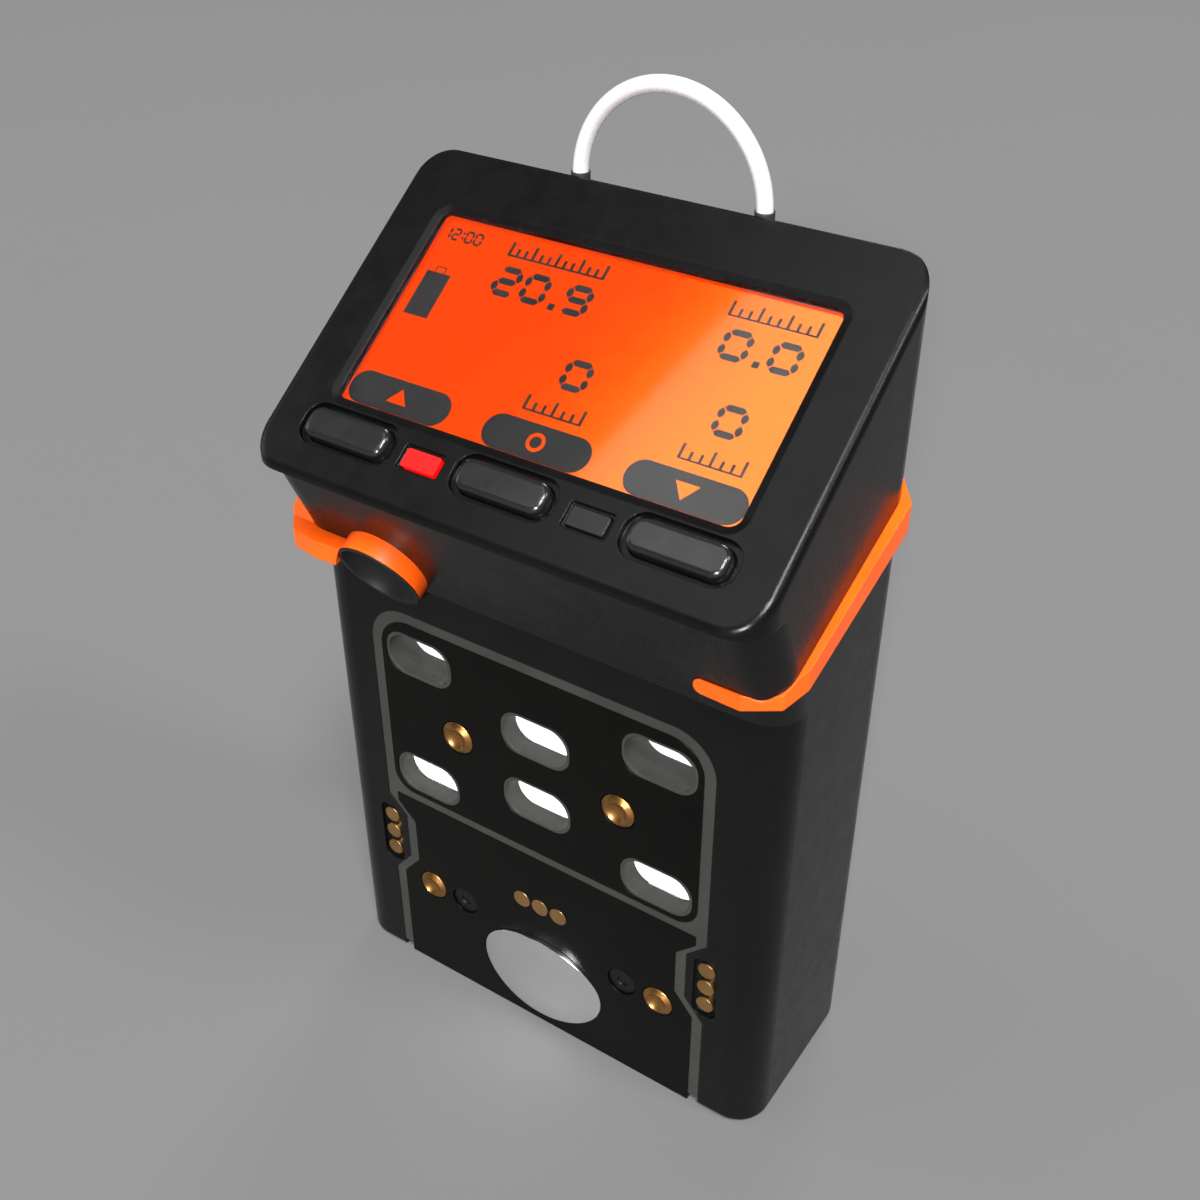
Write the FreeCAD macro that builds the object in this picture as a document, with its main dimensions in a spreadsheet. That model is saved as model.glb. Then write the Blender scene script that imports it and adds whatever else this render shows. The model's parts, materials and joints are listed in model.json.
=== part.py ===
import FreeCAD, Part
import os
import re
import Sketcher

# Portable four-gas detector.  Millimetres, +Z up, front faces -Y.  The origin is the centre of the flat
# bottom face.  Heights are measured from that face, depths from the middle of the case.

DIMENSIONS = {
    # case
    "case_width": 75.0,
    "case_depth": 30.6,
    "case_height": 127.0,
    "corner_round": 5.1,
    "wall": 2.2,
    "under_start": 76.3,
    "under_reach": 8.5,
    "ledge_level": 95.2,
    "lip_reach": 10.2,
    "face_out": 12.0,
    "face_level": 94.8,
    "face_slope": 35.6,
    "face_wall": 2.4,
    "edge_round": 1.2,
    "trim": 2.0,
    # front bay for the sensor cover and the battery pack
    "bay_depth": 18.3,
    "bay_half": 28.4,
    "bay_top": 70.8,
    "bay_round": 6.5,
    "seam": 1.75,
    "seam_sink": 0.12,
    "seam_level": 36.1,
    "seam_half": 0.75,
    "jog_half": 25.3,
    "jog_top": 31.2,
    "jog_low": 22.4,
    "jog_rise": 3.2,
    "cover_plate": 2.7,
    # inside
    "head_floor": 73.1,
    "rear_room": 20.1,
    "ledge_front": 25.6,
    "rear_plate": 2.4,
    "rear_seal": 0.6,
    "rear_half": 32.2,
    "rear_low": 2.8,
    "rear_top": 120.0,
    # display, in the plane of the sloping face
    "window_half": 29.35,
    "window_low": 13.75,
    "window_high": 43.25,
    "window_bevel": 0.3,
    "window_flare": 1.8,
    "window_sink": 0.6,
    "lens_thick": 0.8,
    "lens_lip": 1.2,
    # buttons and alarm lights, in the same plane
    "button_pitch": 24.26,
    "button_row": 9.4,
    "button_wide": 13.0,
    "button_tall": 4.3,
    "button_proud": 0.9,
    "button_travel": 0.7,
    "moat_wide": 15.2,
    "moat_tall": 6.0,
    "moat_sink": 0.9,
    "light_pitch": 12.3,
    "light_row": 9.0,
    "light_wide": 5.2,
    "light_tall": 2.5,
    # slots in the sensor cover
    "slot_wide": 10.8,
    "slot_lining": 0.4,
    "slot_tall": 6.5,
    "slot_side": 19.95,
    "slot_upper": 63.5,
    "slot_lower": 41.25,
    "slot_mid_upper": 57.9,
    "slot_mid_lower": 46.1,
    # screws and contacts
    "cover_screw_x": 13.7,
    "cover_screw_z": 52.2,
    "pack_screw_x": 20.9,
    "pack_screw_z": 18.4,
    "service_x": 14.6,
    "contact_pitch": 3.3,
    "contact_level": 25.5,
    "side_contact_x": 28.5,
    "side_contact_z": 26.0,
    # emblem plate
    "emblem_half_wide": 10.9,
    "emblem_half_tall": 8.1,
    "emblem_level": 10.6,
    "emblem_rise": 1.7,
    # horn
    "horn_x": 22.2,
    "horn_y": 19.2,
    "horn_z": 79.0,
    "horn_tilt": 28.5,
    "horn_radius": 6.3,
    "horn_wall": 0.4,
    "horn_rim": 0.18,
    # orange band
    "band_left": 2.2,
    "band_right": 1.0,
    "band_back": 1.2,
    "band_front": 5.5,
    "band_blade": 2.8,
    "band_bend": 0.8,
    "band_tip": 25.9,
    "band_nose": 1.05,
    "band_front_low": 79.4,
    "band_front_top": 82.2,
    "band_rear_low": 93.3,
    "band_rear_top": 97.3,
    # wire bail
    "bail_half": 13.5,
    "bail_wire": 1.08,
    "bail_top": 139.6,
    "bail_back": 1.4,
    "collar_level": 125.6,
    # belt clip
    "clip_half": 9.0,
    "clip_low": 36.0,
    "clip_top": 82.0,
    "clip_pin_z": 68.0,
    "clip_pin_out": 5.2,
    "clip_pin_radius": 1.0,
    "clip_steel": 1.2,
    # running and assembly gaps
    "gap": 0.15,
}

DOC = FreeCAD.newDocument("gas_detector")
SHEET = DOC.addObject("Spreadsheet::Sheet", "dims")
for row, (alias, number) in enumerate(DIMENSIONS.items(), start=1):
    SHEET.set("A%d" % row, alias)
    SHEET.set("B%d" % row, str(number))
    SHEET.setAlias("B%d" % row, alias)
DOC.recompute()

NODES = []
VECTOR = FreeCAD.Vector
NEAR = 1e-4


# ---- expressions, placing and picking ----


def bound(text):
    """The expression with each dimension's name pointing at its cell."""
    return re.sub(r"[a-z][a-z_]*", lambda m: "dims." + m.group() if m.group() in DIMENSIONS else m.group(),
                  text)


def value(text):
    """The number that an expression of the sheet's names gives now."""
    return float(SHEET.evalExpression(text))


def bind(thing, prop, text):
    thing.setExpression(prop, bound(text))


def place(thing, x="0", y="0", z="0", axis=(0, 0, 1), angle=0.0):
    """Puts an object at a point whose coordinates stay bound to the sheet."""
    thing.Placement = FreeCAD.Placement(VECTOR(0, 0, 0), FreeCAD.Rotation(VECTOR(*axis), angle))
    for name, text in zip("xyz", (x, y, z)):
        bind(thing, "Placement.Base." + name, text)
    return thing


def place_on_face(thing):
    """Turns local axes (across, up the slope, outwards) into the sloping face at the front of the head."""
    place(thing, "0", "-case_depth / 2 - face_out", "face_level", (1, 0, 0), value("face_slope"))
    bind(thing, "Placement.Rotation.Angle", "face_slope")
    return thing


def place_on_horn(thing, start="0"):
    """Turns local axes so that local Z comes out of the horn, forwards and down, from a start along it."""
    place(thing, "-horn_x", "-horn_y - (%s) * cos(horn_tilt)" % start,
          "horn_z - (%s) * sin(horn_tilt)" % start,
          (1, 0, 0), value("90 + horn_tilt"))
    bind(thing, "Placement.Rotation.Angle", "90 + horn_tilt")
    return thing


def edges_where(shape, test):
    return ["Edge%d" % i for i, edge in enumerate(shape.Edges, start=1) if test(edge)]


def is_along(edge, axis):
    """Whether a straight edge runs along a direction."""
    if not isinstance(edge.Curve, Part.Line):
        return False
    return edge.Curve.Direction.cross(VECTOR(*axis)).Length < NEAR


# ---- sketches and bodies ----


def new_body(name):
    thing = DOC.addObject("PartDesign::Body", name)
    thing.Label = name
    return thing


def new_sketch(owner, name, role, offset="0"):
    """A sketch on one of the body's own origin planes, moved along that plane's normal."""
    plane = next(f for f in owner.Origin.OriginFeatures if f.Role == role)
    made = owner.newObject("Sketcher::SketchObject", name)
    made.AttachmentSupport = [(plane, "")]
    made.MapMode = "FlatFace"
    bind(made, "AttachmentOffset.Base.z", offset)
    return made


def hold(made, kind, text, *where):
    """Adds a dimension to a sketch and binds it to the sheet."""
    name = "size%d" % made.ConstraintCount
    index = made.addConstraint(Sketcher.Constraint(kind, *where, value(text)))
    made.renameConstraint(index, name)
    bind(made, "Constraints." + name, text)


def polygon(made, corners):
    """A closed outline of straight lines through points given as pairs of expressions."""
    points = [VECTOR(value(a), value(b), 0) for a, b in corners]
    count = len(points)
    start = made.GeometryCount
    for i in range(count):
        made.addGeometry(Part.LineSegment(points[i], points[(i + 1) % count]))
    for i in range(count):
        made.addConstraint(Sketcher.Constraint("Coincident", start + i, 2, start + (i + 1) % count, 1))
    for i, (a, b) in enumerate(corners):
        hold(made, "DistanceX", a, -1, 1, start + i, 1)
        hold(made, "DistanceY", b, -1, 1, start + i, 1)
    return made


def circle(made, x, y, radius):
    index = made.addGeometry(Part.Circle(VECTOR(value(x), value(y), 0), VECTOR(0, 0, 1), value(radius)))
    hold(made, "DistanceX", x, -1, 1, index, 3)
    hold(made, "DistanceY", y, -1, 1, index, 3)
    hold(made, "Radius", radius, index)
    return made


def rounded(made, left, right, low, high, radius):
    """A rectangle between four bounds with equal round corners."""
    x0, x1, y0, y1, r = (value(t) for t in (left, right, low, high, radius))
    start = made.GeometryCount
    corners = ((x1 - r, y0 + r, 270), (x1 - r, y1 - r, 0), (x0 + r, y1 - r, 90), (x0 + r, y0 + r, 180))
    sides = (
        ((x0 + r, y0), (x1 - r, y0)),
        ((x1, y0 + r), (x1, y1 - r)),
        ((x1 - r, y1), (x0 + r, y1)),
        ((x0, y1 - r), (x0, y0 + r)),
    )
    for (a, b), (cx, cy, turn) in zip(sides, corners):
        made.addGeometry(Part.LineSegment(VECTOR(*a, 0), VECTOR(*b, 0)))
        ring = Part.Circle(VECTOR(cx, cy, 0), VECTOR(0, 0, 1), r)
        first = FreeCAD.Units.Quantity(turn, "deg").getValueAs("rad").Value
        quarter = FreeCAD.Units.Quantity(90, "deg").getValueAs("rad").Value
        made.addGeometry(Part.ArcOfCircle(ring, first, first + quarter))
    for i in range(4):
        line, arc, following = start + 2 * i, start + 2 * i + 1, start + (2 * i + 2) % 8
        made.addConstraint(Sketcher.Constraint("Tangent", line, 2, arc, 1))
        made.addConstraint(Sketcher.Constraint("Tangent", arc, 2, following, 1))
        made.addConstraint(Sketcher.Constraint("Vertical" if i % 2 else "Horizontal", line))
    for i in range(1, 4):
        made.addConstraint(Sketcher.Constraint("Equal", start + 1, start + 2 * i + 1))
    hold(made, "Radius", radius, start + 1)
    hold(made, "DistanceY", low, -1, 1, start, 1)
    hold(made, "DistanceX", right, -1, 1, start + 2, 1)
    hold(made, "DistanceY", high, -1, 1, start + 4, 1)
    hold(made, "DistanceX", left, -1, 1, start + 6, 1)
    return made


def pad(owner, made, length, reverse=False, middle=False, kind="PartDesign::Pad"):
    """Adds (or, as a Pocket, takes away) the sketch's outline over a bound length."""
    feature = owner.newObject(kind, made.Name + "_run")
    feature.Profile = made
    bind(feature, "Length", length)
    feature.Midplane = middle
    feature.Reversed = reverse
    made.Visibility = False
    return feature


def pocket(owner, made, length, reverse=False, middle=False):
    """Cuts the outline away, turned round if it would miss the solid."""
    DOC.recompute()
    before = owner.Shape.Volume
    feature = pad(owner, made, length, reverse, middle, "PartDesign::Pocket")
    DOC.recompute()
    if before - owner.Shape.Volume < NEAR:
        feature.Reversed = not reverse
        DOC.recompute()
    if before - owner.Shape.Volume < NEAR:
        raise RuntimeError("%s cuts nothing" % made.Name)
    return feature


def soften(owner, names, radius, kind="PartDesign::Fillet"):
    """Rounds (or chamfers) edges or the edges of faces on the body's last feature."""
    base = owner.Tip
    feature = owner.newObject(kind, owner.Name + "_soft")
    feature.Base = (base, names)
    bind(feature, "Radius" if kind.endswith("Fillet") else "Size", radius)
    DOC.recompute()
    return feature


# ---- solids ----


def box(name, xs, ys, zs):
    """A block between pairs of bounds."""
    made = DOC.addObject("Part::Box", name)
    for prop, (low, high) in zip(("Length", "Width", "Height"), (xs, ys, zs)):
        bind(made, prop, "(%s) - (%s)" % (high, low))
    return place(made, xs[0], ys[0], zs[0])


TURNS = {"z": ((0, 0, 1), 0.0), "-z": ((1, 0, 0), 180.0), "x": ((0, 1, 0), 90.0), "y": ((1, 0, 0), -90.0),
         "-y": ((1, 0, 0), 90.0)}


def rod(name, radius, length, x="0", y="0", z="0", along="z"):
    """A round bar that starts at a point and runs along an axis."""
    made = DOC.addObject("Part::Cylinder", name)
    bind(made, "Radius", radius)
    bind(made, "Height", length)
    return place(made, x, y, z, *TURNS[along])


def cone(name, radius, radius_end, length, x="0", y="0", z="0", along="z"):
    made = DOC.addObject("Part::Cone", name)
    bind(made, "Radius1", radius)
    bind(made, "Radius2", radius_end)
    bind(made, "Height", length)
    return place(made, x, y, z, *TURNS[along])


def ball(name, radius, x="0", y="0", z="0"):
    made = DOC.addObject("Part::Sphere", name)
    bind(made, "Radius", radius)
    return place(made, x, y, z)


def fuse(name, *things):
    made = DOC.addObject("Part::MultiFuse", name)
    made.Shapes = list(things)
    return made


def group(name, *things):
    """Separate solids that share one node."""
    made = DOC.addObject("Part::Compound", name)
    made.Links = list(things)
    return made


def cut(name, base, *tools):
    """The base with every tool taken away."""
    made = DOC.addObject("Part::Cut", name)
    made.Base = base
    made.Tool = tools[0] if len(tools) == 1 else fuse(name + "_tools", *tools)
    return made


def common(name, first, second):
    made = DOC.addObject("Part::Common", name)
    made.Base = first
    made.Tool = second
    return made


def slab(name, role, offset, length, outline, reverse=False):
    """A body of one padded sketch, whose outline a function draws."""
    owner = new_body(name)
    made = new_sketch(owner, name + "_outline", role, offset)
    outline(made)
    pad(owner, made, length, reverse)
    return owner


def node(thing, name):
    """Names a finished sub-part and lists it for export."""
    thing.Label = name
    NODES.append(thing)
    return thing


# ---- case ----

FRONT = "-case_depth / 2"
REAR = "case_depth / 2"
MIDDLE_X = "case_width / 2"


def plan(made, front, rear=REAR):
    """The case seen from above, with its front edge at a chosen depth."""
    return rounded(made, "-" + MIDDLE_X, MIDDLE_X, front, rear, "corner_round")


def make_form():
    """The outside of the case: a straight body, a leaning neck and a head under a sloping face.

    The head is made deeper than the case and then cut back, so its face meets the back in a crisp edge.
    """
    form = new_body("case_form")
    low = plan(new_sketch(form, "body_plan", "XY_Plane"), FRONT)
    pad(form, low, "under_start")
    DOC.recompute()
    soften(form, edges_where(form.Shape, lambda e: e.BoundBox.ZMax < NEAR), "edge_round * 0.7")
    neck_low = plan(new_sketch(form, "neck_low", "XY_Plane", "under_start"), FRONT)
    neck_high = plan(new_sketch(form, "neck_high", "XY_Plane", "ledge_level"), FRONT + " - under_reach")
    neck = form.newObject("PartDesign::AdditiveLoft", "neck")
    neck.Profile = neck_low
    neck.Sections = [neck_high]
    neck.Ruled = True
    head = plan(new_sketch(form, "head_plan", "XY_Plane", "ledge_level"), FRONT + " - lip_reach",
                REAR + " + trim")
    pad(form, head, "case_height - ledge_level")
    slope = new_sketch(form, "above_face", "YZ_Plane")
    reach = "(case_depth + face_out + 4) * tan(face_slope)"
    polygon(slope, [
        (FRONT + " - face_out", "face_level"),
        (REAR + " + 4", "face_level + " + reach),
        (FRONT + " - face_out", "face_level + " + reach),
    ])
    pocket(form, slope, "case_width + 2", middle=True)
    face = max(range(len(form.Shape.Faces)), key=lambda i: face_score(form.Shape.Faces[i]))
    soften(form, ["Face%d" % (face + 1)], "edge_round")
    whole = slab("case_plan", "XY_Plane", "0", "case_height", lambda s: rounded(
        s, "-" + MIDDLE_X, MIDDLE_X, FRONT + " - 2 * lip_reach", REAR, "corner_round"))
    return common("case_shape", form, whole)


def face_score(face):
    """Large for the broad sloping face."""
    normal = face.normalAt(0, 0)
    leaning = 0.3 < -normal.y < 0.8 and normal.z > 0.5
    return face.Area if leaning else 0.0


def bay_outline(made):
    """The opening for sensor cover and battery pack, with a tongue each side for the side contacts."""
    right = [
        ("bay_half", "-2"),
        ("bay_half", "jog_low - jog_rise - seam * 0.4"),
        ("jog_half", "jog_low"),
        ("jog_half", "jog_top"),
        ("bay_half", "jog_top + jog_rise"),
        ("bay_half", "bay_top"),
    ]
    left = [("-" + x, z) for x, z in reversed(right)]
    return polygon(made, right + left)


def make_bay():
    bay = new_body("bay_room")
    outline = bay_outline(new_sketch(bay, "bay_outline", "XZ_Plane", "-(%s)" % FRONT))
    pad(bay, outline, "bay_depth", reverse=True)
    DOC.recompute()
    corners = edges_where(bay.Shape,
                          lambda e: is_along(e, (0, 1, 0)) and e.BoundBox.ZMin > value("bay_top - 1"))
    soften(bay, corners, "bay_round")
    return bay


def make_cavity():
    """Room for the electronics, as seen from the side, closed by the rear cover."""
    owner = new_body("electronics_room")
    made = new_sketch(owner, "room_outline", "YZ_Plane")
    start = "(-case_depth / 2 - face_out + face_wall * sin(face_slope))"
    level = "(face_level - face_wall * cos(face_slope))"
    low_run = 6.9
    low_y = "%s + %s * cos(face_slope)" % (start, low_run)
    low_z = "%s + %s * sin(face_slope)" % (level, low_run)
    high_z = "%s + (ledge_front - case_depth / 2 - %s) * tan(face_slope)" % (level, start)
    polygon(made, [
        (FRONT + " + rear_room", "wall"),
        (FRONT + " + rear_room", "head_floor"),
        (FRONT + " + wall", "head_floor"),
        (FRONT + " + wall", "under_start - 0.5"),
        (low_y, low_z),
        (FRONT + " + ledge_front", high_z),
        (FRONT + " + ledge_front", "wall"),
    ])
    pad(owner, made, "case_width - 2 * wall - 1", middle=True)
    return owner


def make_rear_opening():
    """The ledge that the rear seal rests on, and the rebate that the rear cover fills."""
    inner = slab("ledge_room", "XZ_Plane", "-(%s + ledge_front - 0.5)" % FRONT, "case_depth",
                 lambda s: rounded(
        s, "-rear_half + 2", "rear_half - 2", "rear_low + 2", "rear_top - 2", "2"), reverse=True)
    rebate = "rear_plate + rear_seal"
    outer = slab("rebate_room", "XZ_Plane", "-(%s - (%s))" % (REAR, rebate), "%s + 3" % rebate,
                 lambda s: rounded(
        s, "-rear_half", "rear_half", "rear_low", "rear_top", "4"), reverse=True)
    return [inner, outer]


REAR_SCREWS = [(side + "26.6", level) for side in ("-", "") for level in ("7.4", "66")]


def make_window_room():
    """Bevelled display opening with a seat for the lens behind its lip."""
    wall = slab("window_wall", "XY_Plane", "-window_sink - 0.1", "window_sink", lambda s: rounded(
        s, "-window_half", "window_half", "window_low", "window_high", "1.6"))
    seat = box("lens_seat", ("-window_half - lens_lip", "window_half + lens_lip"),
               ("window_low - lens_lip", "window_high + lens_lip"), ("-face_wall - 1", "-window_sink"))
    return place_on_face(fuse("window_room", make_window_flare(), wall, seat))


def make_window_flare():
    """A rectangular opening whose walls flare outwards to the face."""
    owner = new_body("window_flare")
    inner = rounded(new_sketch(owner, "flare_inner", "XY_Plane", "-window_bevel"),
                    "-window_half", "window_half", "window_low", "window_high", "1.6")
    outer = rounded(new_sketch(owner, "flare_outer", "XY_Plane", "0.2"), "-window_half - window_flare",
                    "window_half + window_flare", "window_low - window_flare", "window_high + window_flare",
                    "3.4")
    loft = owner.newObject("PartDesign::AdditiveLoft", "flare_loft")
    loft.Profile = inner
    loft.Sections = [outer]
    loft.Ruled = True
    return owner


def pill(name, x, y, wide, tall, low, high, rounding="1.5"):
    """A rounded bar in local axes, from one height to another."""
    return slab(name, "XY_Plane", low, "(%s) - (%s)" % (high, low), lambda s: rounded(
        s, "(%s) - (%s) / 2" % (x, wide), "(%s) + (%s) / 2" % (x, wide),
        "(%s) - (%s) / 2" % (y, tall), "(%s) + (%s) / 2" % (y, tall), rounding))


BUTTONS = {"left": "-button_pitch", "centre": "0", "right": "button_pitch"}
LIGHTS = {"left": "-light_pitch", "right": "light_pitch"}


def make_key_rooms():
    """Shallow moats and through openings for the three buttons and the two alarm lights."""
    rooms = []
    for side, x in BUTTONS.items():
        rooms.append(pill("moat_" + side, x, "button_row", "moat_wide", "moat_tall", "-moat_sink", "2",
                          "2.6"))
        rooms.append(pill("key_way_" + side, x, "button_row", "button_wide + 2 * gap",
                          "button_tall + 2 * gap",
                          "-face_wall - 1.2", "1", "1.9"))
    for side, x in LIGHTS.items():
        rooms.append(pill("light_groove_" + side, x, "light_row", "light_wide + 1.1", "light_tall + 1.1",
                          "-0.5", "1", "0.5"))
        rooms.append(pill("light_way_" + side, x, "light_row", "light_wide + 2 * gap", "light_tall + 2 * gap",
                          "-face_wall - 1.2", "1", "0.4"))
    return place_on_face(fuse("key_rooms", *rooms))


def make_pocket_rooms():
    """Recesses for the side contacts and their pin bores, and the way in for the horn."""
    rooms = []
    for sign, side in (("-", "left"), ("", "right")):
        centre = sign + "side_contact_x"
        rooms.append(slab("contact_pocket_" + side, "XZ_Plane", "-(%s) - 0.8" % FRONT, "4", lambda s: rounded(
            s, centre + " - 1.95", centre + " + 1.95", "side_contact_z - 5.75", "side_contact_z + 5.75",
            "1.4")))
        for step in ("-3.47", "0", "3.47"):
            rooms.append(rod("contact_bore_%s_%d" % (side, len(rooms)), "0.75", "3", centre, FRONT + " + 0.5",
                             "side_contact_z + " + step, "y"))
    horn = place_on_horn(rod("horn_way", "horn_radius - horn_wall - 0.6", "16"), "-14")
    return rooms + [horn]


def make_housing(form, bay):
    seat_bores = [rod("rear_bore_%d" % i, "1.0", "8.5", x, FRONT + " + rear_room + 0.5", z, "y")
                  for i, (x, z) in enumerate(REAR_SCREWS)]
    posts = [rod("rear_post_%d" % i, "3.2", "case_depth - rear_room - rear_plate - rear_seal + 0.5", x,
                 FRONT + " + rear_room - 0.5", z, "y") for i, (x, z) in enumerate(REAR_SCREWS)]
    rooms = [bay, make_cavity(), make_window_room(),
             make_key_rooms()] + make_pocket_rooms() + make_rear_opening()
    shell = cut("open_shell", form, *rooms)
    pack_bores = [rod("pack_bore_%s" % side, "0.95", "8", sign + "pack_screw_x", FRONT + " + bay_depth - 1",
                      "pack_screw_z", "y") for sign, side in (("-", "left"), ("", "right"))]
    with_posts = fuse("shell_with_posts", shell, *posts)
    horn_room = place_on_horn(rod("horn_foot_room", "horn_radius + 0.02", "6"), "-4.2")
    return node(cut("front_housing_solid", with_posts, horn_room, *(seat_bores + pack_bores)),
                "front_housing")


# ---- front covers, seam seal and sensors ----

SLOTS = [
    ("-slot_side", "slot_upper", True),
    ("slot_side", "slot_upper", True),
    ("0", "slot_mid_upper", False),
    ("0", "slot_mid_lower", False),
    ("-slot_side", "slot_lower", False),
    ("slot_side", "slot_lower", False),
]
SIDES = (("-", "left"), ("", "right"))


def front_slab(name, depth, length, outline):
    """A slab that starts some way behind the front of the case and runs rearwards."""
    return slab(name, "XZ_Plane", "-(%s) - (%s)" % (FRONT, depth), length, outline, reverse=True)


def slot(name, x, z, depth, length, grow="0"):
    wide, tall = "(slot_wide / 2 + %s)" % grow, "(slot_tall / 2 + %s)" % grow
    return front_slab(name, depth, length, lambda s: rounded(
        s, "%s - %s" % (x, wide), "%s + %s" % (x, wide), "%s - %s" % (z, tall), "%s + %s" % (z, tall),
        "slot_tall / 2 - 0.15"))


def cover_outline(made, inset="seam"):
    return polygon(made, [
        ("-bay_half + " + inset, "seam_level + seam_half"),
        ("bay_half - " + inset, "seam_level + seam_half"),
        ("bay_half - " + inset, "bay_top - " + inset),
        ("-bay_half + " + inset, "bay_top - " + inset),
    ])


def pack_outline(made):
    """The battery pack's front: as wide as the sensor cover, waisted round the side contacts."""
    right = [
        ("bay_half - seam", "0"),
        ("bay_half - seam", "jog_low - jog_rise - seam * 0.4"),
        ("jog_half - seam", "jog_low"),
        ("jog_half - seam", "jog_top - seam * 0.4"),
        ("bay_half - seam", "jog_top + jog_rise - seam * 0.4"),
        ("bay_half - seam", "seam_level - seam_half"),
    ]
    left = [("-(%s)" % x, z) for x, z in reversed(right)]
    return polygon(made, right + left)


def upright_edges(shape, low, high):
    """Edges along the depth whose height lies between two levels."""
    return edges_where(shape, lambda e: is_along(e, (0, 1, 0)) and low < e.BoundBox.Center.z < high)


def make_cover_blank(name, depth, length):
    """The sensor cover's outline, rounded at its corners, over some depth."""
    blank = front_slab(name, depth, length, cover_outline)
    DOC.recompute()
    soften(blank, upright_edges(blank.Shape, value("bay_top - 4"), 99), "bay_round - seam * 0.8")
    soften(blank, upright_edges(blank.Shape, 0, value("seam_level + 4")), "3.6")
    return blank


def make_sensor_cover():
    blank = make_cover_blank("cover_blank", "0", "cover_plate")
    holes = [slot("cover_slot_%d" % i, x, z, "-1", "cover_plate + 2", "slot_lining + 0.04")
             for i, (x, z, _) in enumerate(SLOTS)]
    bores = [rod("cover_bore_" + side, "1.35", "9", sign + "cover_screw_x", FRONT + " - 1", "cover_screw_z",
                 "y")
             for sign, side in SIDES]
    sinks = [rod("cover_sink_" + side, "2.85", "0.8", sign + "cover_screw_x", FRONT + " - 0.3",
                 "cover_screw_z", "y") for sign, side in SIDES]
    return node(cut("sensor_cover_solid", blank, *(holes + bores + sinks)), "sensor_cover")


def make_sensor_frame():
    """Carrier behind the cover: it lines the slots, holds the filters and takes the cover screws."""
    depth, thick = "cover_plate", "3.4"
    blank = front_slab("frame_blank", depth, thick, lambda s: rounded(
        s, "-bay_half + seam + 1.2", "bay_half - seam - 1.2", "seam_level + seam_half + 1.2",
        "bay_top - seam - 1.2", "4"))
    tools, linings = [], []
    for i, (x, z, deep) in enumerate(SLOTS):
        linings.append(slot("frame_lining_%d" % i, x, z, "0.1", "cover_plate", "slot_lining"))
        tools.append(slot("frame_slot_%d" % i, x, z, "-1", "cover_plate + 6"))
        seat_depth = "cover_plate + 2.6" if deep else "cover_plate + 0.4"
        tools.append(slot("filter_seat_%d" % i, x, z, seat_depth, "1.0", "0.8"))
    tools += [rod("frame_bore_" + side, "1.15", "6", sign + "cover_screw_x", FRONT + " + cover_plate - 1",
                  "cover_screw_z", "y") for sign, side in SIDES]
    carrier = fuse("frame_carrier", blank, *linings)
    return node(cut("sensor_frame_solid", carrier, *tools), "sensor_frame")


def make_filters():
    pads = []
    for i, (x, z, deep) in enumerate(SLOTS):
        depth = "cover_plate + 2.6" if deep else "cover_plate + 0.4"
        pads.append(slot("filter_%d" % i, x, z, depth, "0.8", "0.7"))
    return node(group("filters", *pads), "dust_filters")


SENSOR_PLACES = (("-17.5", "61"), ("17.5", "61"), ("-17.5", "44.2"), ("17.5", "44.2"))


def make_sensors():
    """Four electrochemical cells on pins and the larger combustible-gas bead between them."""
    depth = FRONT + " + cover_plate + 3.5"
    cells = []
    for i, (x, z) in enumerate(SENSOR_PLACES):
        can = rod("cell_can_%d" % i, "7.2", "7.6", x, depth, z, "y")
        rim = rod("cell_rim_%d" % i, "7.6", "1.2", x, depth + " + 2", z, "y")
        pins = [rod("cell_pin_%d_%s" % (i, side), "0.5", "1.2", "%s %s 3" % (x, "+" if sign == "" else "-"),
                    depth + " + 7.5", z, "y") for sign, side in SIDES]
        cells.append(fuse("cell_%d" % i, can, rim, *pins))
    node(group("cells", *cells), "toxic_gas_sensors")
    can = rod("bead_can", "8", "7.6", "0", depth, "52.4", "y")
    mouth = rod("bead_mouth", "5", "0.8", "0", depth + " - 0.01", "52.4", "y")
    node(cut("bead_solid", can, mouth), "combustible_sensor")
    bores = [rod("board_bore_%d" % i, "0.6", "4", "%s %s 3" % (x, turn), depth + " + 6.5", z, "y")
             for i, (x, z, turn) in enumerate((x, z, turn) for x, z in SENSOR_PLACES for turn in "+-")]
    plate = front_slab("sensor_board_blank", "cover_plate + 11.2", "1.6", lambda s: rounded(
        s, "-25.6", "25.6", "seam_level + 1.5", "bay_top - 2.6", "2"))
    node(cut("sensor_board_solid", plate, *bores), "sensor_board")


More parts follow.
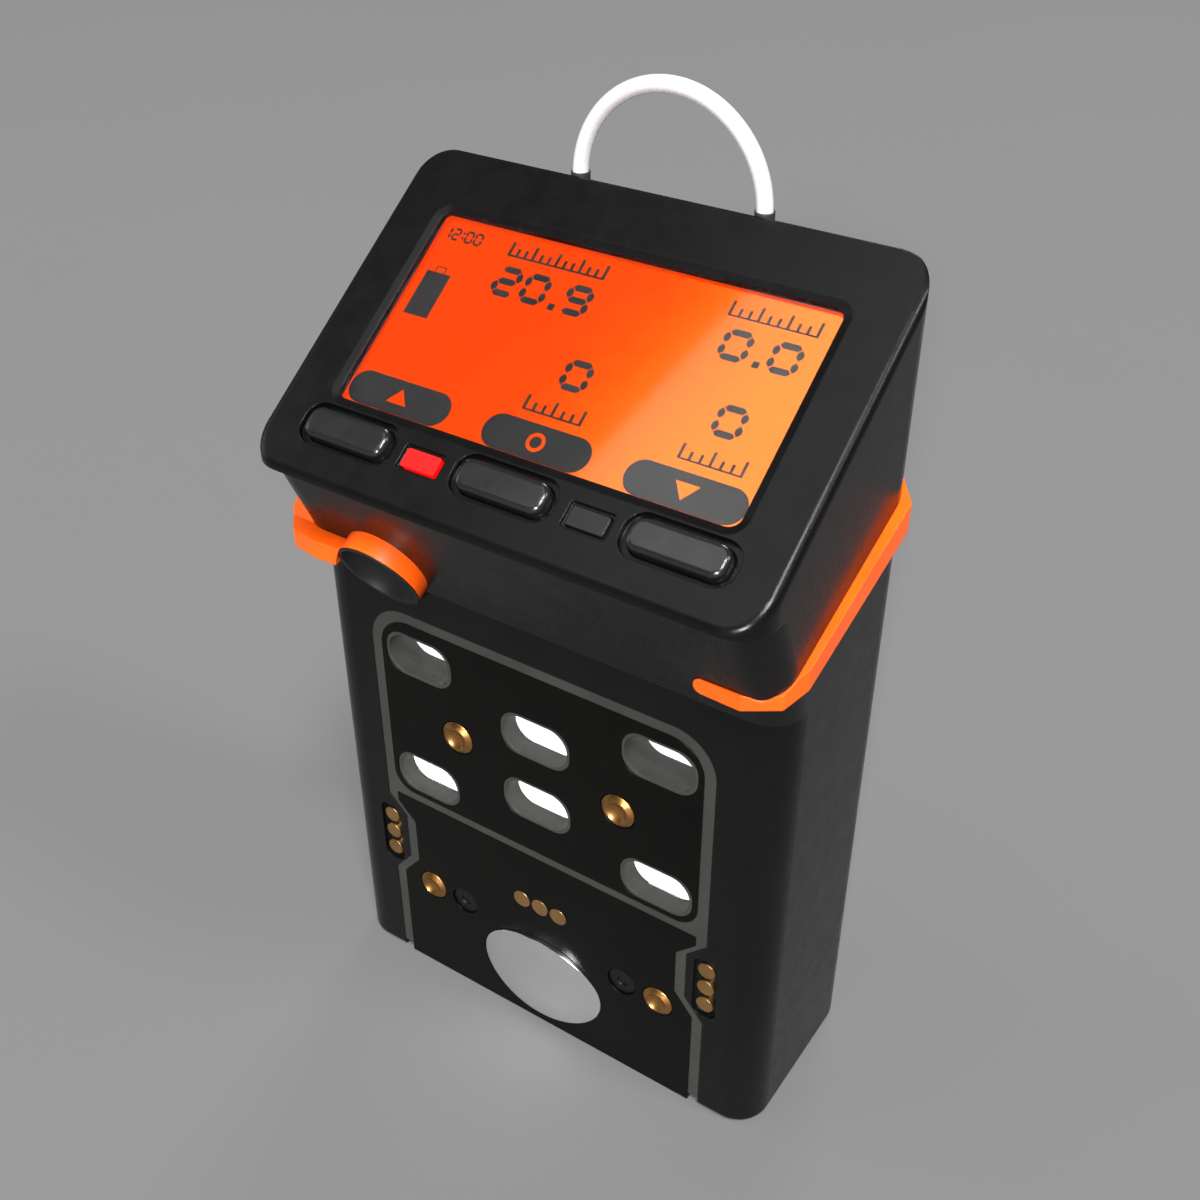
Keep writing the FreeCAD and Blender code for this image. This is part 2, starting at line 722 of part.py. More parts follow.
def make_pack():
    """Battery pack: a front case and its rear lid, with two cells inside."""
    blank = front_slab("pack_blank", "0", "16.6", pack_outline)
    room = front_slab("pack_room", "cover_plate - 0.4", "20", lambda s: rounded(
        s, "-jog_half + seam + 1.4", "jog_half - seam - 1.4", "1.9", "seam_level - seam_half - 1.3", "1"))
    tools = [room]
    for sign, side in SIDES:
        x = sign + "pack_screw_x"
        tools.append(rod("pack_way_" + side, "1.3", "20", x, FRONT + " - 1", "pack_screw_z", "y"))
        tools.append(rod("pack_sink_" + side, "2.65", "0.8", x, FRONT + " - 0.3", "pack_screw_z", "y"))
        tools.append(rod("service_sink_" + side, "2.4", "1.6", sign + "service_x", FRONT + " - 0.8",
                         "pack_screw_z", "y"))
        tools.append(rod("service_way_" + side, "0.9", "9", sign + "service_x", FRONT + " - 0.8",
                         "pack_screw_z", "y"))
    for i, step in enumerate(("-", "", "+")):
        x = "0" if step == "" else step + "contact_pitch"
        tools.append(rod("contact_seat_%d" % i, "1.5", "1.2", x, FRONT + " - 0.6", "contact_level", "y"))
    plinth = front_slab("emblem_seat", "-1", "1.5", lambda s: ellipse(
        s, "emblem_level", "emblem_half_wide + 0.1", "emblem_half_tall + 0.1"))
    node(cut("pack_solid", blank, plinth, *tools), "battery_case")
    lid = front_slab("pack_lid_blank", "16.6", "1.4", lambda s: rounded(
        s, "-jog_half + seam + 0.4", "jog_half - seam - 0.4", "0.9", "seam_level - seam_half - 0.4", "2"))
    ways = [rod("lid_way_" + side, "1.3", "6", sign + "pack_screw_x", FRONT + " + 14", "pack_screw_z", "y")
            for sign, side in SIDES]
    node(cut("pack_lid_solid", lid, *ways), "battery_lid")
    cells = []
    for i, level in enumerate(("8.9", "27.2")):
        can = rod("pack_cell_can_%d" % i, "6.7", "41", "-21", FRONT + " + 9.4", level, "x")
        nub = rod("pack_cell_nub_%d" % i, "2.6", "1.4", "20", FRONT + " + 9.4", level, "x")
        cells.append(fuse("pack_cell_%d" % i, can, nub))
    node(group("pack_cells", *cells), "battery_cells")


def ellipse(made, level, half_wide, half_tall):
    """An ellipse centred across the case."""
    a, b, z = value(half_wide), value(half_tall), value(level)
    index = made.addGeometry(Part.Ellipse(VECTOR(a, z, 0), VECTOR(0, z + b, 0), VECTOR(0, z, 0)))
    made.exposeInternalGeometry(index)
    hold(made, "DistanceX", "(%s) * 2" % half_wide, index + 1, 2, index + 1, 1)
    hold(made, "DistanceY", "(%s) * 2" % half_tall, index + 2, 2, index + 2, 1)
    hold(made, "DistanceY", level, -1, 1, index, 3)
    made.addConstraint(Sketcher.Constraint("PointOnObject", index, 3, -2))
    return made


def make_emblem():
    """A blank oval dome: a slice of a ball, squeezed to the emblem's oval."""
    rim = front_slab("emblem_rim", "-emblem_rise", "emblem_rise + 0.5", lambda s: ellipse(
        s, "emblem_level", "emblem_half_wide", "emblem_half_tall"))
    radius = "(emblem_half_wide ^ 2 / (2 * emblem_rise) + emblem_rise / 2)"
    dome = ball("emblem_ball", radius, "0", "%s - emblem_rise + %s" % (FRONT, radius), "emblem_level")
    node(common("emblem_solid", rim, dome), "emblem_plate")


def make_seam_seal(bay):
    """Grey rubber that lies sunk in the seam round and between the two covers."""
    band = front_slab("seal_band", "seam_sink", "1.8", lambda s: polygon(s, [
        ("-bay_half", "1.4"), ("bay_half", "1.4"), ("bay_half", "bay_top"), ("-bay_half", "bay_top")]))
    inside = common("seal_fill", band, bay)
    cover = make_cover_blank("seal_cover_room", "-1", "6")
    pack = front_slab("seal_pack_room", "-1", "6", pack_outline)
    frame_room = front_slab("seal_frame_room", "cover_plate - 0.1", "6", lambda s: rounded(
        s, "-bay_half + seam + 1.1", "bay_half - seam - 1.1", "seam_level + seam_half + 1.1",
        "bay_top - seam - 1.1", "4"))
    node(cut("seam_seal_solid", inside, cover, pack, frame_room), "seam_seal")


# ---- fasteners and contacts ----


def screw_front(name, x, z, radius, rise, shank, length, sink="0.5"):
    """A round-headed screw with a dished middle, seated in a shallow sink."""
    head = rod(name + "_head", radius, sink, x, FRONT, z, "y")
    crown = cone(name + "_crown", radius, radius + " - 0.7", rise, x, FRONT, z, "-y")
    stem = rod(name + "_stem", shank, length, x, FRONT + " + 0.2", z, "y")
    dish = ball(name + "_dish", "2.4", x, "%s - %s - 1.7" % (FRONT, rise), z)
    return cut(name, fuse(name + "_blank", head, crown, stem), dish)


def make_front_fasteners():
    cover = [screw_front("cover_screw_" + side, sign + "cover_screw_x", "cover_screw_z", "2.65", "0.5",
                         "1.1", "5.6")
             for sign, side in SIDES]
    node(group("cover_screw_pair", *cover), "cover_screws")
    pack = [screw_front("pack_screw_" + side, sign + "pack_screw_x", "pack_screw_z", "2.45", "0.45", "0.9",
                        "19.6")
            for sign, side in SIDES]
    node(group("pack_screw_pair", *pack), "battery_screws")
    service = []
    for sign, side in SIDES:
        x = sign + "service_x"
        head = rod("service_head_" + side, "2.25", "0.5", x, FRONT + " + 0.3", "pack_screw_z", "y")
        stem = rod("service_stem_" + side, "0.8", "1.4", x, FRONT + " + 0.7", "pack_screw_z", "y")
        drive = rod("service_drive_" + side, "0.9", "0.35", x, FRONT + " + 0.2", "pack_screw_z", "y")
        service.append(cut("service_screw_" + side, fuse("service_blank_" + side, head, stem), drive))
    node(group("service_screw_pair", *service), "service_screws")


def make_contacts():
    pins = []
    for i, x in enumerate(("-contact_pitch", "0", "contact_pitch")):
        pins.append(rod("pack_contact_%d" % i, "1.45", "0.65", x, FRONT + " - 0.05", "contact_level", "y"))
    node(group("pack_contacts", *pins), "charging_contacts")
    for sign, side in SIDES:
        pads = []
        for i, step in enumerate(("-3.47", "0", "3.47")):
            x, z = sign + "side_contact_x", "side_contact_z + " + step
            disc = rod("side_disc_%s_%d" % (side, i), "1.35", "0.6", x, FRONT + " + 0.2", z, "y")
            stem = rod("side_stem_%s_%d" % (side, i), "0.65", "2.4", x, FRONT + " + 0.7", z, "y")
            pads.append(fuse("side_contact_%s_%d" % (side, i), disc, stem))
        node(group("side_contact_set_" + side, *pads), side + "_side_contacts")


# ---- head: display, keys, lights and horn ----


def face_plate(name, half, low, high, top, thick, rounding="1"):
    return slab(name, "XY_Plane", "-(%s) - (%s)" % (top, thick), thick, lambda s: rounded(
        s, "-(%s)" % half, half, low, high, rounding))


def make_display():
    """Lens, seal, display module and its board, stacked behind the window."""
    edge = "lens_lip - 0.1"
    lens = face_plate("lens_blank", "window_half + " + edge, "window_low - (%s)" % edge,
                      "window_high + " + edge, "window_sink", "lens_thick - 0.02")
    node(place_on_face(lens), "display_lens")
    outer = face_plate("seal_outer", "window_half + 0.9", "window_low - 0.9", "window_high + 0.9",
                       "window_sink + lens_thick", "0.5")
    inner = face_plate("seal_inner", "window_half", "window_low", "window_high",
                       "window_sink + lens_thick - 1", "3")
    node(place_on_face(cut("lens_seal_solid", outer, inner)), "lens_seal")
    module = face_plate("module_blank", "window_half + 0.7", "window_low - 0.8", "window_high + 0.4",
                        "window_sink + lens_thick + 0.5", "3.4", "0.6")
    node(place_on_face(module), "display_module")
    board = face_plate("board_blank", "31.5", "window_low + 0.6", "41.6", "5.4", "1.2", "1")
    chip = box("display_chip", ("-5", "5"), ("22", "32"), ("-7.6", "-6.6"))
    node(place_on_face(fuse("display_board_solid", board, chip)), "display_board")


def make_keys():
    """Three buttons that press a rubber key mat, and the board under it."""
    for side, x in BUTTONS.items():
        stem = pill("button_stem_" + side, x, "button_row", "button_wide", "button_tall", "-3.1",
                    "button_proud",
                    "1.75")
        DOC.recompute()
        top = edges_where(stem.Shape, lambda e: e.BoundBox.ZMin > value("button_proud") - NEAR)
        soften(stem, top, "0.75")
        flange = box("button_flange_" + side, ("%s - 7.3" % x, "%s + 7.3" % x),
                     ("button_row - 1.4", "button_row + 1.6"), ("-3.3", "-face_wall - 0.1"))
        node(place_on_face(fuse("button_solid_" + side, stem, flange)), side + "_button")
    for side, x in LIGHTS.items():
        stem = pill("light_stem_" + side, x, "light_row", "light_wide", "light_tall", "-3.5", "-0.02", "0.35")
        foot = box("light_foot_" + side, ("%s - 3.2" % x, "%s + 3.2" % x),
                   ("light_row - 0.9", "light_row + 1.8"),
                   ("-3.9", "-face_wall - 0.1"))
        node(place_on_face(fuse("light_solid_" + side, stem, foot)), side + "_alarm_light")
    depth = "3.4 + button_travel"
    mat = face_plate("mat_blank", "32", "button_row - 1.8", "button_row + 2.6", depth, "0.8")
    domes = [rod("mat_dome_" + side, "1.2", "0.25", x, "button_row", "-(%s) - 0.2" % depth)
             for side, x in BUTTONS.items()]
    node(place_on_face(fuse("mat_solid", mat, *domes)), "key_mat")
    board = face_plate("key_board_blank", "32", "button_row - 1.8", "button_row + 2.8", depth + " + 0.8",
                       "1.2")
    node(place_on_face(board), "key_board")


def make_horn():
    """Thin orange collar, the dark bowl that lines it, with the grille holes, and the sounder behind it."""
    ring = rod("horn_ring_blank", "horn_radius", "4.2 - horn_rim", z="-4.2")
    way = rod("horn_ring_way", "horn_radius - horn_wall", "8", z="-6")
    node(place_on_horn(cut("horn_ring_solid", ring, way)), "horn_ring")
    disc = rod("grille_disc", "horn_radius - horn_wall - 0.03", "4.1", z="-4.1")
    rim = rod("grille_rim", "horn_radius", "horn_rim - 0.01", z="0.01 - horn_rim")
    dish = ball("grille_dish", "horn_radius + 0.4", z="3.4")
    holes = [place(rod("grille_hole_%d" % i, "0.5", "6"), "2.1 * cos(%d)" % turn, "2.1 * sin(%d)" % turn,
                   "-5")
             for i, turn in enumerate(range(0, 360, 60))]
    centre = rod("grille_hole_middle", "0.7", "6", z="-5")
    cup = fuse("grille_cup", disc, rim)
    node(place_on_horn(cut("horn_grille_solid", cup, dish, centre, *holes)), "horn_grille")
    body = rod("sounder_body", "5.4", "4.4", z="-12.2")
    neck = rod("sounder_neck", "3.2", "1.2", z="-7.9")
    bore = rod("sounder_bore", "1.2", "3", z="-8.6")
    node(place_on_horn(cut("sounder_solid", fuse("sounder_blank", body, neck), bore)), "sounder")


def band_outline(made):
    """The band's outer edge from above: full on the left, thinning to a blade on the right of the front."""
    left, right = "-(%s + band_left)" % MIDDLE_X, "(%s + band_right)" % MIDDLE_X
    return polygon(made, [
        ("band_tip", FRONT + " + 6"),
        ("band_tip", FRONT + " - band_blade"),
        ("band_tip + 6.5", FRONT + " - band_blade - 0.2"),
        (right + " - 1.5", FRONT + " - 1"),
        (right, FRONT + " + 2.5"),
        (right + " + 0.5", REAR + " - 4"),
        (right + " - 4", REAR + " + band_back"),
        (left + " + 4.8", REAR + " + band_back"),
        (left, REAR + " - 4"),
        (left, FRONT + " - 1"),
        (left + " + 3.3", FRONT + " - 4.7"),
        (left + " + 7.6", FRONT + " - band_front"),
        ("-horn_x", FRONT + " - band_front + 0.5"),
        ("-horn_x", FRONT + " + 6"),
    ])


def make_band(form):
    """Orange bumper: level across the front corners, rising along the sides, level across the back."""
    ring = slab("band_ring", "XY_Plane", "band_front_low - 6", "40", band_outline)
    DOC.recompute()
    bends = edges_where(ring.Shape, lambda e: is_along(e, (0, 0, 1)) and abs(e.BoundBox.Center.x) > 30)
    soften(ring, bends, "band_bend")
    rise = new_body("band_rise")
    made = new_sketch(rise, "rise_outline", "YZ_Plane")
    polygon(made, [
        (FRONT + " - 8", "band_front_low"),
        (FRONT + " - 4.8", "band_front_low"),
        (FRONT + " - 2.4", "band_front_low + 0.8"),
        (REAR, "band_rear_low"),
        (REAR + " + 8", "band_rear_low"),
        (REAR + " + 8", "band_rear_top"),
        (REAR, "band_rear_top"),
        (FRONT + " + 1", "band_front_top + 2.4"),
        (FRONT + " - 2", "band_front_top"),
        (FRONT + " - 8", "band_front_top"),
    ])
    pad(rise, made, "case_width + 20", middle=True)
    strip = common("band_strip", ring, rise)
    horn_room = place_on_horn(rod("band_horn_room", "horn_radius + 0.01", "20"), "-8")
    gap_room = box("band_front_gap", ("-horn_x", "band_tip + band_nose"), (FRONT + " - 8", FRONT + " + 8"),
                   ("60", "110"))
    nose = rod("band_front_nose", "band_nose", "16", "band_tip + band_nose", FRONT + " - 8",
               "band_front_top - band_nose", "y")
    clear = cut("band_front_room", gap_room, nose)
    node(cut("band_solid", strip, form, horn_room, clear), "bumper_band")


# ---- inside the case ----


def make_electronics():
    board = slab("main_board_blank", "XZ_Plane", "-(%s) - 21.4" % FRONT, "1.5", lambda s: rounded(
        s, "-33", "33", "4.5", "71", "2"), reverse=True)
    ways = [rod("main_board_way_%d" % i, "3.5", "4", x, FRONT + " + 20.4", z, "y")
            for i, (x, z) in enumerate(REAR_SCREWS)]
    node(cut("main_board_solid", board, *ways), "main_board")
    chips = []
    blocks = (("2", "30", "14", "14"), ("14", "46", "10", "8"), ("-12", "50", "7", "5"),
              ("10", "14", "12", "6"))
    for i, (x, z, wide, tall) in enumerate(blocks):
        chips.append(box("main_chip_%d" % i, ("%s - %s / 2" % (x, wide), "%s + %s / 2" % (x, wide)),
                         (FRONT + " + 22.9", FRONT + " + 24.1"),
                         ("%s - %s / 2" % (z, tall), "%s + %s / 2" % (z, tall))))
    node(group("main_chip_set", *chips), "board_chips")
    motor = rod("motor_can", "1.9", "11", "-24", FRONT + " + 25.6", "24", "x")
    shaft = rod("motor_shaft", "0.4", "4", "-13.1", FRONT + " + 25.6", "24", "x")
    weight = rod("motor_weight", "1.7", "2.6", "-12", FRONT + " + 25.6", "24", "x")
    relief = box("motor_relief", ("-13", "-8"), (FRONT + " + 23", FRONT + " + 28"), ("24.6", "27"))
    node(fuse("motor_solid", motor, shaft, cut("motor_eccentric", weight, relief)), "vibration_motor")


# ---- back of the case ----


def make_rear():
    """Rear cover with its seal and screws."""
    plate = slab("rear_plate_blank", "XZ_Plane", "-(%s - rear_plate)" % REAR, "rear_plate", lambda s: rounded(
        s, "-rear_half + 0.12", "rear_half - 0.12", "rear_low + 0.12", "rear_top - 0.12", "3.9"),
                 reverse=True)
    ways, sinks = [], []
    for i, (x, z) in enumerate(REAR_SCREWS):
        ways.append(rod("rear_way_%d" % i, "1.35", "6", x, REAR + " - 4", z, "y"))
        sinks.append(rod("rear_sink_%d" % i, "2.5", "3", x, REAR + " - 1.4", z, "y"))
    clip_ways = [rod("clip_way_%s" % side, "1.0", "6", sign + "5", REAR + " - 4", "clip_low + 8", "y")
                 for sign, side in SIDES]
    bail_ways = [rod("bracket_way_%s" % side, "0.8", "6", sign + "7", REAR + " - 4", "collar_level - 9.5",
                     "y")
                 for sign, side in SIDES]
    grooves = [front_groove("grip_groove_%d" % i, str(14 + 4 * i)) for i in range(4)]
    node(cut("rear_cover_solid", plate, *(ways + sinks + clip_ways + bail_ways + grooves)), "rear_cover")
    outer = slab("rear_seal_outer", "XZ_Plane", "-(%s - rear_plate - rear_seal)" % REAR, "rear_seal",
                 lambda s: rounded(s, "-rear_half + 0.1", "rear_half - 0.1", "rear_low + 0.1",
                                   "rear_top - 0.1", "3.9"),
                 reverse=True)
    inner = slab("rear_seal_inner", "XZ_Plane", "-(%s - rear_plate) + 2" % REAR, "4", lambda s: rounded(
        s, "-rear_half + 2", "rear_half - 2", "rear_low + 2", "rear_top - 2", "2"), reverse=True)
    node(cut("rear_seal_solid", outer, inner), "rear_seal")
    screws = []
    for i, (x, z) in enumerate(REAR_SCREWS):
        head = rod("rear_head_%d" % i, "2.3", "1.2", x, REAR + " - 1.4", z, "y")
        stem = rod("rear_stem_%d" % i, "0.95", "7.2", x, REAR + " - 8.4", z, "y")
        drive = rod("rear_drive_%d" % i, "1.0", "2", x, REAR + " - 0.9", z, "y")
        screws.append(cut("rear_screw_%d" % i, fuse("rear_screw_blank_%d" % i, head, stem), drive))
    node(group("rear_screw_set", *screws), "rear_cover_screws")


def front_groove(name, level):
    """One shallow grip groove across the lower back."""
    return slab(name, "XZ_Plane", "-(%s - 0.5)" % REAR, "2", lambda s: rounded(
        s, "-18", "18", level, level + " + 1.6", "0.7"), reverse=True)


def make_bail():
    """Wire bail, the bracket that holds its feet and a dark collar round each foot."""
    foot_y = REAR + " + bail_back"
    bracket = box("bracket_blank", ("-bail_half - 3", "bail_half + 3"), (REAR, REAR + " + 3"),
                  ("collar_level - 12.5", "collar_level - 1.8"))
    relief = box("bracket_relief", ("-bail_half + 3", "bail_half - 3"), (REAR + " + 1.4", REAR + " + 5"),
                 ("collar_level - 14", "collar_level"))
    bores = [rod("bail_bore_" + side, "bail_wire + 0.02", "8", sign + "bail_half", foot_y, "collar_level - 9")
             for sign, side in SIDES]
    ways = [rod("bracket_bore_" + side, "1.1", "6", sign + "7", REAR + " - 1", "collar_level - 9.5", "y")
            for sign, side in SIDES]
    node(cut("bracket_solid", bracket, relief, *(bores + ways)), "bail_bracket")
    collars = []
    for sign, side in SIDES:
        ring = rod("collar_" + side, "bail_wire + 0.2", "1.8", sign + "bail_half", foot_y,
                   "collar_level - 1.8")
        way = rod("collar_way_" + side, "bail_wire + 0.02", "4", sign + "bail_half", foot_y,
                  "collar_level - 3")
        guard = box("collar_guard_" + side, (sign + "bail_half - 3", sign + "bail_half + 3"),
                    (REAR + " - 3", REAR), ("collar_level - 4", "collar_level + 2"))
        collars.append(cut("bail_collar_" + side, ring, way, guard))
    node(group("collar_pair", *collars), "bail_collars")
    node(make_bail_wire(), "bail")
    screws = []
    for sign, side in SIDES:
        x, z = sign + "7", "collar_level - 9.5"
        head = rod("bracket_head_" + side, "1.9", "1.1", x, REAR + " + 1.4", z, "y")
        stem = rod("bracket_stem_" + side, "0.78", "4.4", x, REAR + " - 2.8", z, "y")
        drive = rod("bracket_drive_" + side, "0.8", "2", x, REAR + " + 2", z, "y")
        screws.append(cut("bracket_screw_" + side, fuse("bracket_screw_blank_" + side, head, stem), drive))
    node(group("bracket_screw_pair", *screws), "bracket_screws")


def make_bail_wire():
    """The bent wire: two straight legs and a round arch, swept from its section."""
    owner = new_body("bail_blank")
    made = new_sketch(owner, "bail_path", "XZ_Plane", "-(%s + bail_back)" % REAR)
    half = value("bail_half")
    low = value("collar_level - 8.9")
    shoulder = value("bail_top - bail_wire - bail_half")
    for x in (-1, 1):
        made.addGeometry(Part.LineSegment(VECTOR(x * half, low, 0), VECTOR(x * half, shoulder, 0)))
    ring = Part.Circle(VECTOR(0, shoulder, 0), VECTOR(0, 0, 1), half)
    straight = FreeCAD.Units.Quantity(180, "deg").getValueAs("rad").Value
    made.addGeometry(Part.ArcOfCircle(ring, 0, straight))
    made.addConstraint(Sketcher.Constraint("Tangent", 1, 2, 2, 1))
    made.addConstraint(Sketcher.Constraint("Tangent", 2, 2, 0, 2))
    made.addConstraint(Sketcher.Constraint("Vertical", 0))
    made.addConstraint(Sketcher.Constraint("Vertical", 1))
    made.addConstraint(Sketcher.Constraint("PointOnObject", 2, 3, -2))
    hold(made, "Radius", "bail_half", 2)
    hold(made, "DistanceY", "collar_level - 8.9", -1, 1, 0, 1)
    hold(made, "DistanceY", "collar_level - 8.9", -1, 1, 1, 1)
    hold(made, "DistanceY", "bail_top - bail_wire - bail_half", -1, 1, 2, 3)
    section = circle(new_sketch(owner, "bail_section", "XY_Plane", "collar_level - 8.9"),
                     "-bail_half", REAR + " + bail_back", "bail_wire")
    pipe = owner.newObject("PartDesign::AdditivePipe", "bail_run")
    pipe.Profile = section
    pipe.Spine = (made, ["Edge1", "Edge2", "Edge3"])
    pipe.Transition = "Round corner"
    return owner


# ---- belt clip ----


def make_clip():
    """Spring clip on the back: base, lever, pin, spring and its two screws."""
    pin_y = REAR + " + clip_pin_out"
    base = box("clip_base_plate", ("-clip_half", "clip_half"), (REAR, REAR + " + clip_steel"),
               ("clip_low", "clip_pin_z + 6"))
    ears = []
    for sign, side in SIDES:
        outer = sign + "clip_half"
        inner = outer + (" + " if sign else " - ") + "clip_steel"
        xs = (outer, inner) if sign else (inner, outer)
        web = box("clip_ear_web_" + side, xs, (REAR, pin_y), ("clip_pin_z - 3.2", "clip_pin_z + 3.2"))
        tip = rod("clip_ear_tip_" + side, "3.2", "clip_steel", xs[0], pin_y, "clip_pin_z", "x")
        ears += [web, tip]
    bores = [rod("clip_base_bore_" + side, "1.3", "6", sign + "5", REAR + " - 1", "clip_low + 8", "y")
             for sign, side in SIDES]
    pin_way = rod("clip_ear_way", "clip_pin_radius + 0.02", "4 * clip_half", "-2 * clip_half", pin_y,
                  "clip_pin_z", "x")
    node(cut("clip_base_solid", fuse("clip_base_blank", base, *ears), pin_way, *bores), "clip_base")
    node(make_clip_lever(pin_y), "clip_lever")
    shank = rod("clip_pin_shank", "clip_pin_radius", "2 * clip_half + 1", "-clip_half - 0.5", pin_y,
                "clip_pin_z", "x")
    heads = [rod("clip_pin_head_" + side, "1.5", "0.5", sign + "clip_half" + step, pin_y, "clip_pin_z", "x")
             for sign, side, step in (("-", "left", " - 0.6"), ("", "right", " + 0.1"))]
    node(fuse("clip_pin_solid", shank, *heads), "clip_pin")
    screws = []
    for sign, side in SIDES:
        x, z = sign + "5", "clip_low + 8"
        head = rod("clip_screw_head_" + side, "2.1", "0.9", x, REAR + " + clip_steel", z, "y")
        stem = rod("clip_screw_stem_" + side, "0.95", "4.5", x, REAR + " - 2.9", z, "y")
        drive = rod("clip_screw_drive_" + side, "0.9", "2", x, REAR + " + clip_steel + 0.4", z, "y")
        screws.append(cut("clip_screw_" + side, fuse("clip_screw_blank_" + side, head, stem), drive))
    node(group("clip_screw_pair", *screws), "clip_screws")
    coil = cut("clip_spring_coil", rod("spring_outer", "2.3", "6", "-3", pin_y, "clip_pin_z", "x"),
               rod("spring_inner", "1.35", "8", "-4", pin_y, "clip_pin_z", "x"))
    leg_low = box("spring_leg_base", ("-3", "-2"), (REAR + " + clip_steel + 0.05", pin_y + " - 1.5"),
                  ("clip_pin_z - 2", "clip_pin_z - 1"))
    node(fuse("clip_spring_solid", coil, leg_low), "clip_spring")


def make_clip_lever(pin_y):
    """A pressed steel lever, as seen from the side: jaw foot, bowed arm, thumb plate."""
    owner = new_body("clip_lever_blank")
    made = new_sketch(owner, "lever_outline", "YZ_Plane")
    steel = "clip_steel"
    near = REAR + " + clip_steel"
    polygon(made, [
        (near + " + 0.35", "clip_low"),
        (near + " + 1.5", "clip_low"),
        (near + " + 5.0", "clip_low + 7"),
        (pin_y + " + 3.9", "clip_pin_z - 8"),
        (pin_y + " + 3.9", "clip_pin_z + 1"),
        (pin_y + " + 6.2", "clip_top"),
        ("%s + 6.2 - %s" % (pin_y, steel), "clip_top + 0.2"),
        ("%s + 3.9 - %s" % (pin_y, steel), "clip_pin_z + 1"),
        ("%s + 3.9 - %s" % (pin_y, steel), "clip_pin_z - 8"),
        ("%s + 5.0 - %s" % (near, steel), "clip_low + 7.4"),
        (near + " + 1.0", "clip_low + 1.6"),
        (near + " + 0.35", "clip_low + 1.6"),
    ])
    width = "2 * (clip_half - clip_steel - 0.35)"
    pad(owner, made, width, middle=True)
    DOC.recompute()
    bends = edges_where(owner.Shape,
                        lambda e: is_along(e, (1, 0, 0)) and e.BoundBox.ZMin > value("clip_low + 5")
                        and e.BoundBox.ZMax < value("clip_top - 2"))
    soften(owner, bends, "0.5")
    knuckles = []
    for i, x in enumerate(("-clip_half + clip_steel + 0.35", "clip_half - 2 * clip_steel - 0.35")):
        web = box("lever_web_%d" % i, (x, x + " + clip_steel"), (pin_y, pin_y + " + 3.4"),
                  ("clip_pin_z - 2.6", "clip_pin_z + 2.6"))
        eye = rod("lever_eye_%d" % i, "2.6", "clip_steel", x, pin_y, "clip_pin_z", "x")
        knuckles += [web, eye]
    way = rod("lever_way", "clip_pin_radius + 0.05", "4 * clip_half", "-2 * clip_half", pin_y, "clip_pin_z",
              "x")
    return cut("clip_lever_solid", fuse("lever_with_knuckles", owner, *knuckles), way)


# ---- build, test and write ----


def check():
    """Stops the run if anything failed to build."""
    for thing in DOC.Objects:
        if {"Invalid", "Error"} & set(thing.State):
            raise RuntimeError("%s did not build: %s" % (thing.Label, thing.State))
    for thing in NODES:
        if thing.Shape.isNull() or not thing.Shape.isValid() or not thing.Shape.Solids:
            raise RuntimeError("%s has no sound shape" % thing.Label)


def build():
    form = make_form()
    bay = make_bay()
    make_housing(form, bay)
    make_sensor_cover()
    make_sensor_frame()
    make_filters()
    make_sensors()
    make_pack()
    make_emblem()
    make_seam_seal(bay)
    make_front_fasteners()
    make_contacts()
    make_display()
    make_keys()
    make_horn()
    make_band(form)
    make_electronics()
    make_rear()
    make_bail()
    make_clip()
    DOC.recompute()
    check()
    os.makedirs("parts", exist_ok=True)
    for thing in NODES:
        thing.Shape.exportStep("parts/%s.step" % thing.Label)
        print("%-24s %8.1f mm3, %d solids" % (thing.Label, thing.Shape.Volume, len(thing.Shape.Solids)))


build()
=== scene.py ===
import json
import math

import bmesh
import bpy
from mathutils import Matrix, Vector


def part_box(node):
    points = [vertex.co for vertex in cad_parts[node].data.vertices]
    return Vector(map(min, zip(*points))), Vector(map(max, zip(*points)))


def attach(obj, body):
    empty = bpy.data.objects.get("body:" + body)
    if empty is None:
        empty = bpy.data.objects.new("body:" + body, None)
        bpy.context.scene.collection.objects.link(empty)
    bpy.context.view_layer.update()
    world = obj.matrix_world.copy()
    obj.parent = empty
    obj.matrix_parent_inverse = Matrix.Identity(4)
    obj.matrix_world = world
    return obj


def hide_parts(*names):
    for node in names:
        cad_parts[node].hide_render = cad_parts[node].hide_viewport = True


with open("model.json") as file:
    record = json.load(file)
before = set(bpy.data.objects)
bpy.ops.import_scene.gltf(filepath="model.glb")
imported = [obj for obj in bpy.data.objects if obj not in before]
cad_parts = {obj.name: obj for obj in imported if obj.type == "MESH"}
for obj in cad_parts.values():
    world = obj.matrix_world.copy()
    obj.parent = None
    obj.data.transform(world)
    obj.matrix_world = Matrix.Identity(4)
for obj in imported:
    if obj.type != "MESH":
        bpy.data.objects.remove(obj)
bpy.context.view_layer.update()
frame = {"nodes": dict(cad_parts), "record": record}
NODES = frame["nodes"]
MM = 0.001

# ---- the sloping face, as it stands in the frame ----

FACE_SLOPE = math.radians(35.6)
FACE_UP = Vector((0, math.cos(FACE_SLOPE), math.sin(FACE_SLOPE)))
FACE_OUT = Vector((0, -math.sin(FACE_SLOPE), math.cos(FACE_SLOPE)))
FACE_START = Vector((0, -27.3 * MM, 94.8 * MM))


def on_face(across, up, out=0.0):
    """A point given in millimetres across, up and out of the sloping face."""
    return FACE_START + Vector((across * MM, 0, 0)) + FACE_UP * (up * MM) + FACE_OUT * (out * MM)


# ---- materials ----


